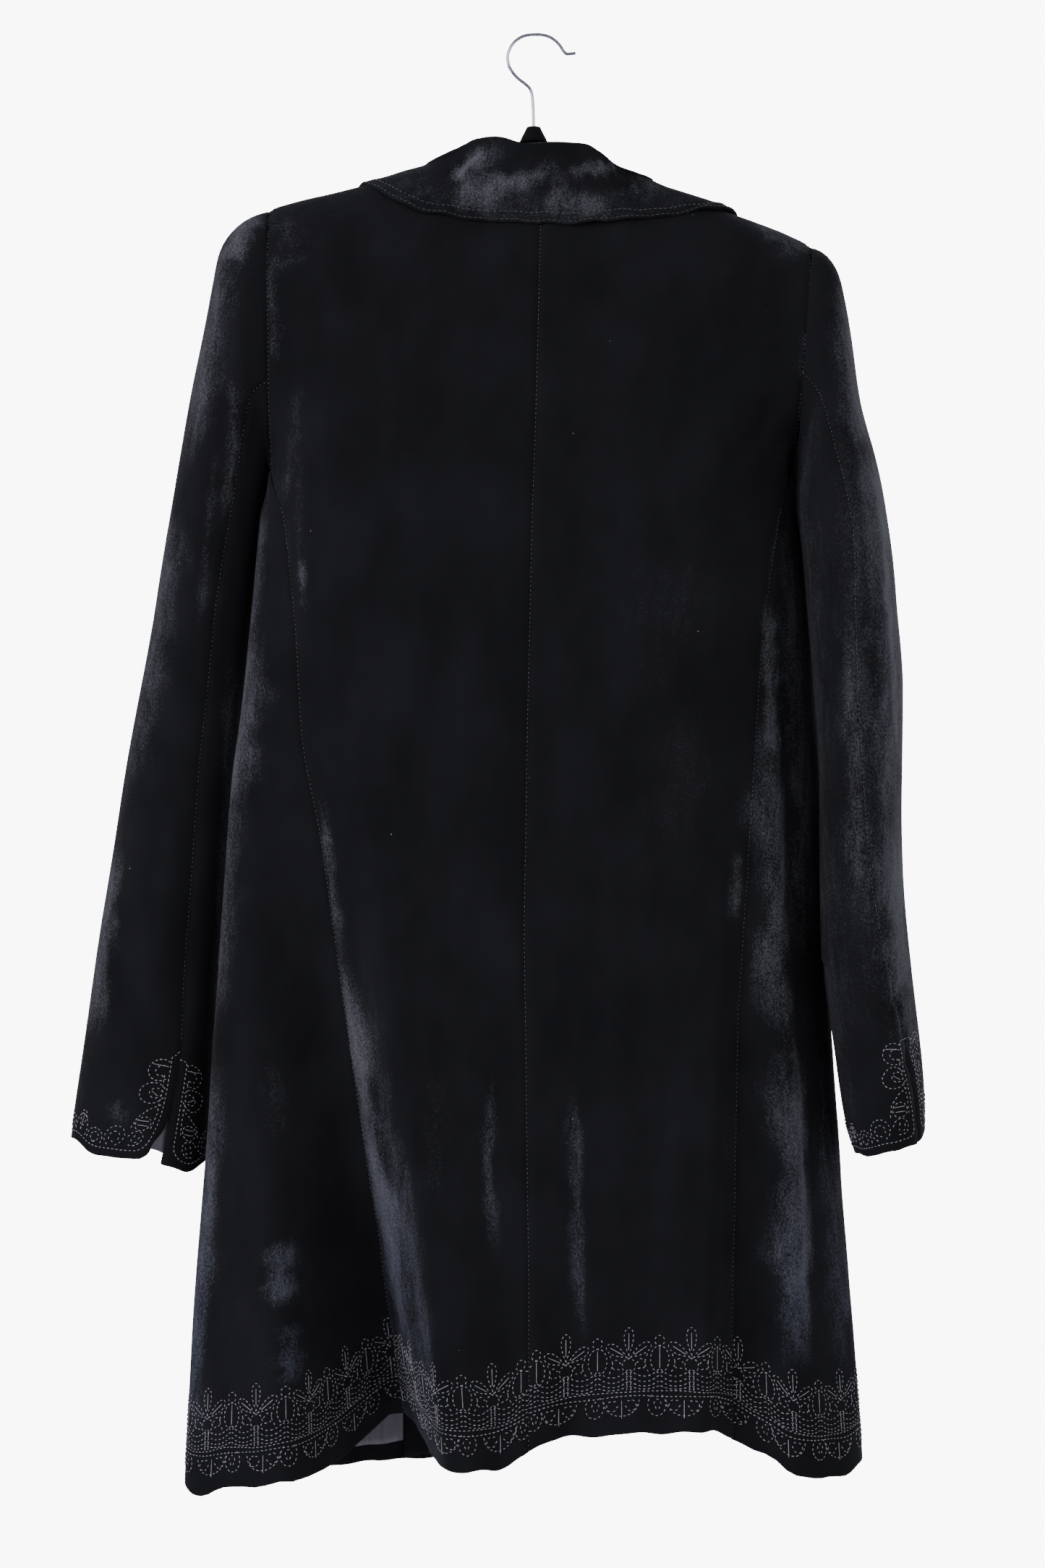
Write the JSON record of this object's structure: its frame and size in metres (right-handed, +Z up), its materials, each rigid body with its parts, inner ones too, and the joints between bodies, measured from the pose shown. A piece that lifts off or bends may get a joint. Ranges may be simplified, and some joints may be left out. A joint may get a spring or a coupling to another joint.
{
  "type": "velvet coat on a hanger",
  "caption": "Long-sleeved dark velvet coat with a wide turned-down collar and embroidered hem and cuffs, hanging on a slim hanger with a wire hook.",
  "frame": {"origin": "inside top of the hanger's hook, where it rests on what it hangs from", "axes": "+Z up, the coat's back faces -Y and its fronts face +Y, +X to the right as seen from behind"},
  "size_m": [0.5867, 0.149, 1.0021],
  "materials": {
    "velvet": "pile velvet",
    "velvet_side": "pile velvet",
    "lining": "satin",
    "flock": "flocked",
    "steel": "plated"
  },
  "bodies": {
    "root": {"back_left": "velvet", "back_right": "velvet", "side_left": "velvet_side", "side_right": "velvet_side", "front_left": "velvet", "front_right": "velvet", "upper_sleeve_left": "velvet", "upper_sleeve_right": "velvet", "under_sleeve_left": "velvet_side", "under_sleeve_right": "velvet_side", "collar": "velvet", "front_lining_left": "lining", "front_facing_left": "velvet", "cuff_lining_left": "lining", "hanger_arms": "flock", "hanger_neck": "flock", "hanger_hook": "steel"}
  },
  "joints": []
}
